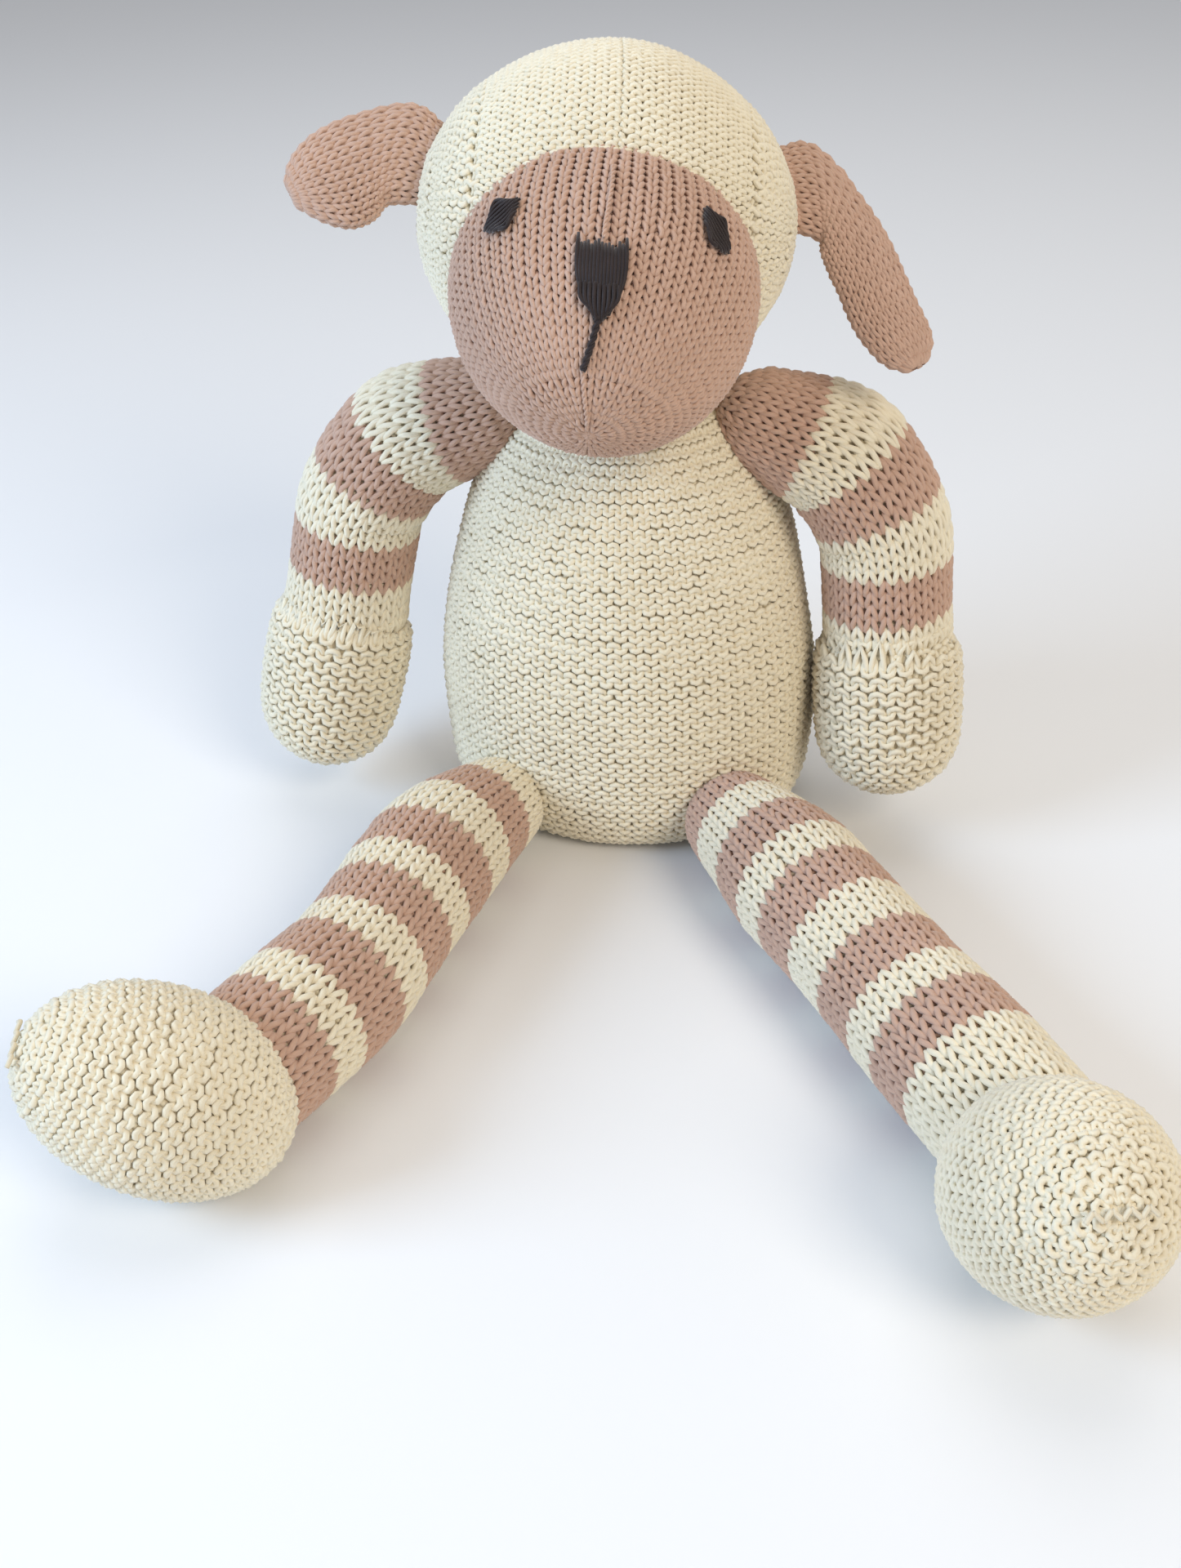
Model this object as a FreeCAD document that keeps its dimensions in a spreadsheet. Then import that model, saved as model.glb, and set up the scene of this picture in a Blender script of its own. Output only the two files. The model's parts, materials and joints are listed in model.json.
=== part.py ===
"""Knitted lamb soft toy, seated: FreeCAD macro, millimetres.

The toy faces -Y, +Z is up, and its own left side is +X. The origin is the middle of the flat seat
under the body. Every knitted cover is a shell, and the polyester stuffing is a separate solid in it.
"""
import FreeCAD, Part
import math
import os
from FreeCAD import Placement, Rotation, Vector

SIDES = ("right", "left")
TILE = 100.0  # half size of a cutting box, larger than the head

doc = FreeCAD.newDocument("KnittedLamb")
sheet = doc.addObject("Spreadsheet::Sheet", "Sizes")
cell_count = 0


# ---------------------------------------------------------------- driving dimensions

def cell(alias, value, note=""):
    """Put one driving dimension on the sheet."""
    global cell_count
    cell_count += 1
    sheet.set(f"A{cell_count}", alias)
    sheet.set(f"B{cell_count}", str(value))
    sheet.set(f"C{cell_count}", note)
    sheet.setAlias(f"B{cell_count}", alias)


def point_cells(prefix, point):
    """Put a point on the sheet as three cells."""
    for axis, value in zip("xyz", point):
        cell(f"{prefix}_{axis}", value)


cell("knit", 1.8, "thickness of a knitted cover")
cell("slack", 0.1, "space between a cover and its stuffing")
cell("joint_gap", 0.4, "space round the ball end of a hand or a foot")
cell("anchor_gap", 0.9, "space round the root of an arm or a leg")
cell("thread", 0.5, "thickness of joining thread")

# Body: height, half width and half depth of each ring of the sack, from the seat up.
BODY_RINGS = (
    (0.0, 39.0, 28.5),
    (4.5, 45.5, 33.5),
    (15.0, 49.0, 37.0),
    (38.0, 49.2, 38.5),
    (64.0, 46.0, 36.5),
    (86.0, 40.5, 33.0),
    (101.0, 34.0, 28.0),
    (110.0, 26.5, 23.0),
    (114.7, 17.0, 15.5),
)
for number, (height, half_width, half_depth) in enumerate(BODY_RINGS):
    cell(f"body_height_{number}", height)
    cell(f"body_half_width_{number}", half_width)
    cell(f"body_half_depth_{number}", half_depth)

point_cells("neck", (0.0, -3.0, 115.5))
cell("neck_ring_radius", 8.0)
cell("neck_thread_radius", 0.65)

# Head: an egg for the crown, and a second one, pitched down, for the face and muzzle.
point_cells("head", (-3.0, -5.0, 156.5))
cell("head_turn", 9.0, "degrees towards the toy's left")
cell("head_tilt", 6.5, "degrees, left ear down")
cell("crown_half_width", 43.0)
cell("crown_half_depth", 41.0)
cell("crown_half_height", 38.5)
cell("muzzle_forward", 27.0)
cell("muzzle_drop", 7.0)
cell("muzzle_pitch", 12.0)
cell("muzzle_half_width", 33.5)
cell("muzzle_half_length", 38.0)
cell("muzzle_half_height", 32.5)
cell("stitch_height", 1.2, "how far satin stitches stand proud")
cell("eye_x", 20.5)
cell("eye_z", 12.5)
cell("eye_half_width", 2.6)
cell("eye_half_height", 5.0)
cell("eye_lean", 28.0)
cell("nose_top", 12.5)
cell("nose_height", 12.5)
cell("nose_top_width", 11.0)
cell("nose_bottom_width", 3.0)
cell("mouth_length", 9.5)
cell("mouth_width", 1.8)
cell("tuck_top", -24.0)
cell("tuck_length", 6.0)
cell("outline_front", 80.0, "how far in front of the head a stitch outline starts")
cell("outline_depth", 50.0, "how far back a stitch outline runs")
cell("eye_outline_front", 45.0, "centre of an eye's outline")
cell("eye_outline_depth", 30.0, "half depth of an eye's outline")

# Ears: flat lobes. Each is how far out and how far up its seam it lies, its half length, half width
# and half thickness, and how far it leans down, in degrees.
cell("ear_root_x", 46.4)
cell("ear_root_y", 4.0)
cell("ear_root_z", 10.0)
cell("ear_seam_lean", 50.0, "degrees the seam of an ear leans back from the front")
cell("ear_seam_inward", 16.5, "degrees it leans in towards the top of the head")
cell("ear_hinge_radius", 3.8)
cell("ear_hinge_shortfall", 2.0, "how much shorter the hinge edge is than the ear root")
EAR_LOBES = {
    "right": (
        (2.5, 0.0, 7.0, 12.5, 3.9, 0.0),
        (11.5, -7.0, 15.0, 12.6, 4.3, 33.0),
    ),
    "left": (
        (2.0, 0.0, 6.5, 12.0, 3.9, 0.0),
        (6.0, -10.6, 12.5, 9.6, 4.2, 54.0),
        (11.0, -27.5, 17.0, 8.3, 4.2, 70.0),
    ),
}

# Arms and legs: root, three points along the tube, then the wrist or ankle and the tube's far end.
cell("arm_root_radius", 13.8)
cell("arm_radius", 16.6)
cell("wrist_radius", 16.0)
cell("hand_radius", 19.5)
cell("hand_half_length", 23.5)
cell("leg_root_radius", 13.2)
cell("leg_radius", 17.0)
cell("ankle_radius", 16.4)
cell("foot_radius", 21.8)
cell("foot_half_length", 29.8)
cell("anchor_pad_radius", 2.4, "radius of the knot of joining thread at a root")
cell("toe_stitch_length", 13.0)
cell("toe_stitch_width", 2.2)

LIMB_PATHS = {
    ("right", "arm"): ((-36, -1, 109), (-50.5, -1.5, 104.8), (-64, -2.5, 92.2), (-71.3, -3, 75), (-74.8, -4, 56)),
    ("left", "arm"): ((36, -1, 109), (49, -1.5, 104.8), (60.5, -2.5, 92.2), (65.8, -3, 75.5), (67.2, -4, 57)),
    ("right", "leg"): (
        (-31, -37, 15.5), (-38, -54, 17.1), (-43.5, -77, 17.3), (-49.2, -104.5, 17.3), (-60.3, -132.5, 17.5)),
    ("left", "leg"): ((33, -36, 15.5), (44, -51.5, 17.1), (59, -74, 17.3), (77, -102, 17.3), (96.3, -131.8, 17.5)),
}
END_CENTRES = {
    ("right", "arm"): (-80.0, -7.4, 33.0),
    ("left", "arm"): (68.6, -7.6, 36.8),
    ("right", "leg"): (-74.0, -154.3, 24.7),
    ("left", "leg"): (102.1, -158.4, 25.9),
}
# Long axis of each hand and foot.
END_AXES = {
    ("right", "arm"): (-5.0, -4.0, -23.5),
    ("left", "arm"): (1.5, -4.0, -23.0),
    ("right", "leg"): (-0.80, -0.22, 0.56),
    ("left", "leg"): (0.20, -0.70, 0.68),
}
TUBE_SHORTFALL = 4.5  # how far the tube stops before the wrist or ankle centre

for (side, limb), path in LIMB_PATHS.items():
    for number, point in enumerate(path):
        point_cells(f"{side}_{limb}_{number}", point)
    point_cells(f"{side}_{limb}_end", END_CENTRES[side, limb])
doc.recompute()


def value(alias):
    """Read a cell back as a number."""
    return float(sheet.get(alias))


def vector(prefix):
    """Read a point back from its three cells."""
    return Vector(*(value(f"{prefix}_{axis}") for axis in "xyz"))


# ---------------------------------------------------------------- building blocks

def bind(item, **expressions):
    """Bind properties of an object to expressions on the sheet."""
    for name, expression in expressions.items():
        item.setExpression(name.replace("__", "."), expression)
    return item


def bind_place(item, prefix, rotation=Rotation()):
    """Place an object at a point of the sheet."""
    item.Placement = Placement(vector(prefix), rotation)
    places = {f"Placement__Base__{axis}": f"Sizes.{prefix}_{axis}" for axis in "xyz"}
    return bind(item, **places)


def make(kind, name):
    """Add one document object."""
    return doc.addObject(kind, name)


def cut(name, base, tool):
    item = make("Part::Cut", name)
    item.Base = base
    item.Tool = tool
    return item


def join(name, pieces):
    item = make("Part::MultiFuse", name)
    item.Shapes = pieces
    return item


def overlap(name, pieces):
    item = make("Part::MultiCommon", name)
    item.Shapes = pieces
    return item


def ball(name, prefix, radius):
    """A sphere at a point of the sheet, its radius an expression."""
    item = make("Part::Sphere", name)
    bind(item, Radius=radius)
    return bind_place(item, prefix)


def egg(name, across, deep, tall, inset="0"):
    """An ellipsoid from three half sizes (x, y, z), each an alias, made smaller by inset."""
    item = make("Part::Ellipsoid", name)
    return bind(
        item,
        Radius1=f"Sizes.{tall} - ({inset})",
        Radius2=f"Sizes.{across} - ({inset})",
        Radius3=f"Sizes.{deep} - ({inset})",
    )


def loft(name, sections):
    item = make("Part::Loft", name)
    item.Sections = sections
    item.Solid = True
    item.Ruled = False
    return item


def path_tangents(points):
    """Directions of a path at its points."""
    tangents = []
    for number in range(len(points)):
        before = points[max(number - 1, 0)]
        after = points[min(number + 1, len(points) - 1)]
        tangents.append((after - before).normalize())
    return tangents


def facing(direction):
    """Rotation that turns +Z into a direction."""
    return Rotation(Vector(0, 0, 1), direction)


nodes = []


def finish(item, label, placement=None):
    """Name a finished piece after its file."""
    item.Label = label
    if placement is not None:
        item.Placement = placement
    nodes.append(item)
    return item


# Insets of the three nested skins: cover outside, cover inside, stuffing outside.
OUTER = "0"
INNER = "Sizes.knit"
FILLING = "Sizes.knit + Sizes.slack"


# ---------------------------------------------------------------- body

def body_skin(name, inset):
    """The body sack as a loft of elliptical rings, drawn in by an inset all round."""
    rings = []
    last = len(BODY_RINGS) - 1
    for number in range(len(BODY_RINGS)):
        ring = make("Part::Ellipse", f"{name}_ring_{number}")
        lift = {0: f" + ({inset})", last: f" - ({inset})"}.get(number, "")
        bind(
            ring,
            MajorRadius=f"Sizes.body_half_width_{number} - ({inset})",
            MinorRadius=f"Sizes.body_half_depth_{number} - ({inset})",
            Placement__Base__z=f"Sizes.body_height_{number}{lift}",
        )
        rings.append(ring)
    return loft(name, rings)


def root_recesses(name):
    """Hollows in the body for the round roots of the limbs, and for the arms where they lie against it."""
    hollows = []
    for side in SIDES:
        for limb in ("arm", "leg"):
            radius = f"Sizes.{limb}_root_radius + Sizes.anchor_gap"
            hollows.append(ball(f"{name}_{side}_{limb}", f"{side}_{limb}_0", radius))
        armpit = "Sizes.arm_radius + 3 * Sizes.anchor_gap"
        hollows.append(ball(f"{name}_{side}_armpit", f"{side}_arm_1", armpit))
    return join(name, hollows)


def make_body():
    skins = {inset: body_skin(f"body_skin_{count}", inset) for count, inset in enumerate((OUTER, INNER, FILLING))}
    shell = cut("body_shell", skins[OUTER], skins[INNER])
    finish(cut("body_cover_cut", shell, root_recesses("cover_recesses")), "torso_cover")
    finish(cut("body_filling_cut", skins[FILLING], root_recesses("filling_recesses")), "torso_stuffing")
    ring = make("Part::Torus", "neck_ring")
    bind(ring, Radius1="Sizes.neck_ring_radius", Radius2="Sizes.neck_thread_radius")
    finish(bind_place(ring, "neck"), "neck_gather_thread")


# ---------------------------------------------------------------- head

def head_placement():
    turn = Rotation(Vector(0, 0, 1), value("head_turn"))
    tilt = Rotation(Vector(0, 1, 0), value("head_tilt"))
    return Placement(vector("head"), turn.multiply(tilt))


def crown_skin(name, inset):
    return egg(name, "crown_half_width", "crown_half_depth", "crown_half_height", inset)


def muzzle_skin(name, inset):
    item = egg(name, "muzzle_half_width", "muzzle_half_length", "muzzle_half_height", inset)
    pitch = Rotation(Vector(1, 0, 0), value("muzzle_pitch"))
    item.Placement = Placement(Vector(0, -value("muzzle_forward"), -value("muzzle_drop")), pitch)
    return bind(item, Placement__Base__y="-Sizes.muzzle_forward", Placement__Base__z="-Sizes.muzzle_drop")


def half_space(name, sign):
    """A box that holds everything on one side of the head's middle plane."""
    box = make("Part::Box", name)
    box.Length = TILE
    box.Width = 2 * TILE
    box.Height = 2 * TILE
    box.Placement = Placement(Vector(0 if sign > 0 else -TILE, -TILE, -TILE), Rotation())
    return box


def satin_pad(label, outline, placement):
    """Raised satin stitching: the skin over the muzzle, inside an outline that runs front to back."""
    raised = muzzle_skin(f"{label}_raised", "-Sizes.stitch_height")
    band = cut(f"{label}_band", raised, muzzle_skin(f"{label}_under", OUTER))
    finish(overlap(f"{label}_pad", [band, outline]), label, placement)


def eye_outline(side):
    sign = -1 if side == "right" else 1
    lens = make("Part::Ellipsoid", f"{side}_eye_outline")
    bind(lens, Radius1="Sizes.eye_half_height", Radius2="Sizes.eye_half_width", Radius3="Sizes.eye_outline_depth")
    lean = Rotation(Vector(0, 1, 0), -sign * value("eye_lean"))
    lens.Placement = Placement(Vector(sign * value("eye_x"), -value("eye_outline_front"), value("eye_z")), lean)
    return bind(lens, Placement__Base__x=f"{sign} * Sizes.eye_x", Placement__Base__z="Sizes.eye_z")


def nose_outline():
    """A wedge: wide at the top, narrow at the bottom."""
    wedge = make("Part::Wedge", "nose_outline")
    bind(
        wedge,
        Xmin="-Sizes.nose_top_width / 2",
        Xmax="Sizes.nose_top_width / 2",
        X2min="-Sizes.nose_bottom_width / 2",
        X2max="Sizes.nose_bottom_width / 2",
        Ymin="0",
        Ymax="Sizes.nose_height",
        Zmin="0",
        Zmax="Sizes.outline_depth",
        Z2min="0",
        Z2max="Sizes.outline_depth",
    )
    # The wedge's length runs down, and its depth runs to the back.
    frame = Rotation(Vector(1, 0, 0), -90)
    wedge.Placement = Placement(Vector(0, -value("outline_front"), value("nose_top")), frame)
    return bind(wedge, Placement__Base__z="Sizes.nose_top")


def stitch_box(name, width, length, top):
    """A narrow upright box through the front of the muzzle."""
    box = make("Part::Box", name)
    bind(box, Length=width, Height=length, Width="Sizes.outline_depth")
    box.Placement = Placement(Vector(0, -value("outline_front"), 0), Rotation())
    return bind(box, Placement__Base__x=f"-({width}) / 2", Placement__Base__z=f"{top} - ({length})")


def make_head():
    placement = head_placement()
    crown_shell = cut("crown_shell", crown_skin("crown_out", OUTER), crown_skin("crown_in", INNER))
    crown_open = cut("crown_open", crown_shell, muzzle_skin("face_tool", OUTER))
    for side, sign in (("right", -1), ("left", 1)):
        half = overlap(f"{side}_crown_half", [crown_open, half_space(f"{side}_crown_side", sign)])
        finish(half, f"{side}_crown_cover", placement)
    muzzle_shell = cut("muzzle_shell", muzzle_skin("muzzle_out", OUTER), muzzle_skin("muzzle_in", INNER))
    muzzle_open = cut("muzzle_open", muzzle_shell, crown_skin("crown_tool", INNER))
    finish(muzzle_open, "muzzle_cover", placement)
    filling = join("head_filling", [crown_skin("crown_fill", FILLING), muzzle_skin("muzzle_fill", FILLING)])
    finish(filling, "head_stuffing", placement)
    for side in SIDES:
        satin_pad(f"{side}_eye_stitching", eye_outline(side), placement)
    satin_pad("nose_stitching", nose_outline(), placement)
    lip = stitch_box("mouth_outline", "Sizes.mouth_width", "Sizes.mouth_length", "Sizes.nose_top - Sizes.nose_height")
    satin_pad("mouth_stitching", lip, placement)
    tuck = stitch_box("tuck_outline", "Sizes.mouth_width", "Sizes.tuck_length", "Sizes.tuck_top")
    satin_pad("muzzle_gather_stitch", tuck, placement)


# ---------------------------------------------------------------- ears

def make_ear(side):
    """A flat knitted ear: flat lobes in one plane, on a round hinge edge along its seam."""
    sign = -1 if side == "right" else 1
    placement = head_placement()
    root = placement.multVec(Vector(sign * value("ear_root_x"), value("ear_root_y"), value("ear_root_z")))
    inward = Rotation(Vector(0, 1, 0), -sign * value("ear_seam_inward"))
    back = Rotation(Vector(1, 0, 0), value("ear_seam_lean") - 90)
    seam = placement.Rotation.multVec(inward.multVec(back.multVec(Vector(0, 0, 1))))
    sideways = placement.Rotation.multVec(Vector(sign, 0, 0))
    outward = (sideways - seam * seam.dot(sideways)).normalize()
    pieces = []
    for number, (out, up, half_length, half_width, half_thickness, lean) in enumerate(EAR_LOBES[side]):
        lobe = make("Part::Ellipsoid", f"{side}_ear_lobe_{number}")
        lobe.Radius1, lobe.Radius2, lobe.Radius3 = half_length, half_width, half_thickness
        cosine, sine = math.cos(math.radians(lean)), math.sin(math.radians(lean))
        turn = Rotation(seam * cosine + outward * sine, Vector(), outward * cosine - seam * sine, "ZXY")
        lobe.Placement = Placement(root + outward * out + seam * up, turn)
        pieces.append(lobe)
    hinge = make("Part::Cylinder", f"{side}_ear_hinge")
    bind(hinge, Radius="Sizes.ear_hinge_radius")
    hinge.Height = 2 * EAR_LOBES[side][0][3] - value("ear_hinge_shortfall")
    hinge.Placement = Placement(root - seam * (hinge.Height.Value / 2), facing(seam))
    finish(join(f"{side}_ear_join", pieces + [hinge]), f"{side}_ear")


# ---------------------------------------------------------------- arms and legs

def limb_tube(name, side, limb, inset):
    """The tube of an arm or leg with its round root, drawn in by an inset."""
    count = len(LIMB_PATHS[side, limb])
    points = [vector(f"{side}_{limb}_{number}") for number in range(count)]
    tangents = path_tangents(points)
    sections = []
    for number in range(count):
        ring = make("Part::Circle", f"{name}_ring_{number}")
        size = "root_radius" if number == 0 else "radius"
        bind(ring, Radius=f"Sizes.{limb}_{size} - ({inset})")
        if number < count - 1:
            bind_place(ring, f"{side}_{limb}_{number}", facing(tangents[number]))
        else:
            stop = points[number] - tangents[number] * TUBE_SHORTFALL
            ring.Placement = Placement(stop, facing(tangents[number]))
        sections.append(ring)
    root = ball(f"{name}_root", f"{side}_{limb}_0", f"Sizes.{limb}_root_radius + 0.05 - ({inset})")
    return join(name, [root, loft(f"{name}_loft", sections)])


def limb_end(name, side, limb, inset):
    """A hand or foot: a ball round the wrist or ankle centre, joined to an egg."""
    joint = {"arm": "wrist", "leg": "ankle"}[limb]
    tip = {"arm": "hand", "leg": "foot"}[limb]
    socket = ball(f"{name}_ball", f"{side}_{limb}_4", f"Sizes.{joint}_radius - ({inset})")
    shape = egg(f"{name}_egg", f"{tip}_radius", f"{tip}_radius", f"{tip}_half_length", inset)
    bind_place(shape, f"{side}_{limb}_end", facing(Vector(*END_AXES[side, limb]).normalize()))
    return join(name, [socket, shape])


def anchor_thread(side, limb):
    """A flat knot of thread between the body and the root of a limb."""
    path = [vector(f"{side}_{limb}_{number}") for number in (0, 1)]
    inward = (path[0] - path[1]).normalize()
    radius = f"Sizes.{limb}_root_radius + (Sizes.anchor_gap - Sizes.thread) / 2"
    outside = ball(f"{side}_{limb}_thread_out", f"{side}_{limb}_0", f"{radius} + Sizes.thread")
    inside = ball(f"{side}_{limb}_thread_in", f"{side}_{limb}_0", radius)
    skin = cut(f"{side}_{limb}_thread_skin", outside, inside)
    post = make("Part::Cylinder", f"{side}_{limb}_thread_post")
    bind(post, Radius="Sizes.anchor_pad_radius", Height=f"Sizes.{limb}_root_radius * 2")
    post.Placement = Placement(path[0], facing(inward))
    seam = {"arm": "shoulder", "leg": "hip"}[limb]
    finish(overlap(f"{side}_{limb}_thread_pad", [skin, post]), f"{side}_{seam}_thread")


def toe_stitch(side):
    """A short bar of stitches that closes the toe."""
    axis = Vector(*END_AXES[side, "leg"]).normalize()
    across = Vector(0, 0, 1).cross(axis).normalize()
    bar = make("Part::Box", f"{side}_toe_bar")
    bind(bar, Length="Sizes.toe_stitch_length", Width="Sizes.toe_stitch_width", Height="Sizes.thread")
    turn = Rotation(across, Vector(), axis, "ZXY")
    corner = Vector(-value("toe_stitch_length") / 2, -value("toe_stitch_width") / 2, 0)
    tip = vector(f"{side}_leg_end") + axis * (value("foot_half_length") + value("slack"))
    bar.Placement = Placement(tip + turn.multVec(corner), turn)
    finish(bar, f"{side}_toe_stitch")


def make_limb(side, limb):
    joint = {"arm": "wrist", "leg": "ankle"}[limb]
    tip = {"arm": "hand", "leg": "foot"}[limb]
    tube = {inset: limb_tube(f"{side}_{limb}_{count}_tube", side, limb, inset)
            for count, inset in enumerate((OUTER, INNER, FILLING))}
    socket = f"Sizes.{joint}_radius + Sizes.joint_gap"
    shell = cut(f"{side}_{limb}_shell", tube[OUTER], tube[INNER])
    cover_socket = ball(f"{side}_{limb}_cover_socket", f"{side}_{limb}_4", socket)
    finish(cut(f"{side}_{limb}_cover_cut", shell, cover_socket), f"{side}_{limb}_cover")
    filling_socket = ball(f"{side}_{limb}_filling_socket", f"{side}_{limb}_4", socket)
    filling = cut(f"{side}_{limb}_filling_cut", tube[FILLING], filling_socket)
    finish(filling, f"{side}_{limb}_stuffing")
    ends = {inset: limb_end(f"{side}_{tip}_{count}_end", side, limb, inset)
            for count, inset in enumerate((OUTER, INNER, FILLING))}
    finish(cut(f"{side}_{tip}_shell", ends[OUTER], ends[INNER]), f"{side}_{tip}_cover")
    finish(ends[FILLING], f"{side}_{tip}_stuffing")
    anchor_thread(side, limb)


# ---------------------------------------------------------------- the whole toy

make_body()
make_head()
for side in SIDES:
    make_ear(side)
    make_limb(side, "arm")
    make_limb(side, "leg")
    toe_stitch(side)
doc.recompute()

faulty = [item.Name for item in doc.Objects if "Invalid" in item.State or "Error" in item.State]
if faulty:
    raise RuntimeError(f"objects that failed: {faulty}")

os.makedirs("parts", exist_ok=True)
for item in nodes:
    shape = item.Shape
    if shape.isNull() or not shape.isValid() or not shape.Solids:
        raise RuntimeError(f"{item.Label} has no valid solid")
    shape.exportStep(f"parts/{item.Label}.step")
    box = shape.optimalBoundingBox()
    print(
        f"{item.Label}: {len(shape.Solids)} solid, {shape.Volume / 1000:.2f} cm3,",
        f"x {box.XMin:.1f}..{box.XMax:.1f} y {box.YMin:.1f}..{box.YMax:.1f} z {box.ZMin:.1f}..{box.ZMax:.1f}",
    )
print(len(nodes), "pieces")
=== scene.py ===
"""A knitted lamb: interlocked yarn loops, padding, seams and embroidery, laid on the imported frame."""
import json
import math

import bpy
import numpy as np
from mathutils import Matrix, Vector


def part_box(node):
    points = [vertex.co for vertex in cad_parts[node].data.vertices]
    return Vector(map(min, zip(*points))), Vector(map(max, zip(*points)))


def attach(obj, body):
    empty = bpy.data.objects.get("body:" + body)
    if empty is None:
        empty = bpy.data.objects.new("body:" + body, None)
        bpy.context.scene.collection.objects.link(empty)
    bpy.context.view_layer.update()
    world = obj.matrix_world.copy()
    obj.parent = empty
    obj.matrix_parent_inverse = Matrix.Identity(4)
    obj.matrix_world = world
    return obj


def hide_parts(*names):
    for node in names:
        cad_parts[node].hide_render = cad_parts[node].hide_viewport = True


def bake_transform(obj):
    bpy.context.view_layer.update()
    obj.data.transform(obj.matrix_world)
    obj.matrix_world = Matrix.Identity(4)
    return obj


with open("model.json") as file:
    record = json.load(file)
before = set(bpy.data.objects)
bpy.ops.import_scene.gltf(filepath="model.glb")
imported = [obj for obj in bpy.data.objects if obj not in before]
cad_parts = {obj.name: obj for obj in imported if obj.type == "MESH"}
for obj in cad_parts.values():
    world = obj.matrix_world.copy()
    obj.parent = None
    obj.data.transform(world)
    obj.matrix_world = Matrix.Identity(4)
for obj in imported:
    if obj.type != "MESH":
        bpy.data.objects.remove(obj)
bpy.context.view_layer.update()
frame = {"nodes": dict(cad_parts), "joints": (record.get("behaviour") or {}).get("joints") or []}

MM = 0.001
TAU = 2 * math.pi
rng = np.random.default_rng(7)

# ---------------------------------------------------------------- yarn and stitch sizes, in metres

YARN = 0.74 * MM          # radius of the body yarn
FINE_YARN = 0.60 * MM     # radius of the face and ear yarn
SKIN_INSET = 1.45 * MM    # from the CAD surface in to the middle of the knit
COVER = 1.9 * MM          # from a stuffing's surface out to its cover's surface
SAMPLES = 14              # points along one stitch
YARN_SIDES = 6            # sides of the yarn
LOOP_LEAN = 0.235         # how far a loop swings sideways, in stitches
LOOP_REACH = 0.86         # how far a loop reaches up and down, in rows
LOOP_DEPTH = 0.95         # how far a loop swings in and out, in yarn radii
SIDE_JITTER = 0.035       # random shift of a stitch along its row, in stitches
HEIGHT_JITTER = 0.05      # random change of its height, in rows
DEPTH_JITTER = 0.10       # random change of its depth, as a share
SNUG_WIDTH = 4.6          # a stitch narrower than this, in yarn radii, draws its yarn thin
SNUG_HEIGHT = 4.0         # the same for its height
THINNEST, THIN_RANGE = 0.55, 0.45
PAD_INSET = 0.5 * MM      # from the middle of the knit in to the padding
POLE_GAP = 0.004          # share of a skin left out at each end of its padding
SEAM_SLANT = 0.35         # how far a seam's stitches lean along it
SEAM_RISE = 0.9           # how far they stand up, in yarn radii
SEAM_JITTER = 0.06        # random shift of a seam's stitch, in pitches
SEAM_STEP = 0.3 * MM      # step for a seam's direction
CORD_STRANDS, CORD_SIDES = 2, 5
STRAND_OUT, STRAND_THICK = 0.5, 0.62    # shares of a cord's radius
SIDE_SIGN = {"right": -1, "left": 1}

ORIGINS = {j["name"]: np.array(j["pos_m"], float) for j in frame["joints"]}
AXES = {j["name"]: np.array(j["axis"], float) for j in frame["joints"]}


def unit(v):
    v = np.asarray(v, float)
    return v / np.maximum(np.linalg.norm(v, axis=-1, keepdims=True), 1e-12)


def run_along(p):
    """Distance along a line to each of its points."""
    return np.concatenate([[0], np.cumsum(np.linalg.norm(np.diff(p, axis=0), axis=1))])


def smooth(rows, count):
    """Evenly spread rows of numbers along a Catmull-Rom curve through the rows given."""
    p = np.asarray(rows, float)
    p = np.vstack([2 * p[0] - p[1], p, 2 * p[-1] - p[-2]])
    t = np.linspace(0, len(p) - 3 - 1e-9, count)
    i = t.astype(int)
    f = (t - i)[:, None]
    a, b, c, d = p[i], p[i + 1], p[i + 2], p[i + 3]
    return b + 0.5 * f * (c - a + f * (2 * a - 5 * b + 4 * c - d + f * (3 * (b - c) + d - a)))


def lumps(p, size):
    """Small soft swellings, as stuffing makes under a knitted cover."""
    q = p * 95.0
    wave = (np.sin(q[..., 0] * 1.3 + 1.7 + 1.1 * np.sin(q[..., 2] * 0.9))
            + np.sin(q[..., 1] * 1.6 + 0.4 + 0.9 * np.sin(q[..., 0] * 1.1))
            + np.sin(q[..., 2] * 1.2 + 2.9 + 1.2 * np.sin(q[..., 1] * 0.8)))
    return size * wave / 3


# ---------------------------------------------------------------- skins: surfaces that knitting is laid on

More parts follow.
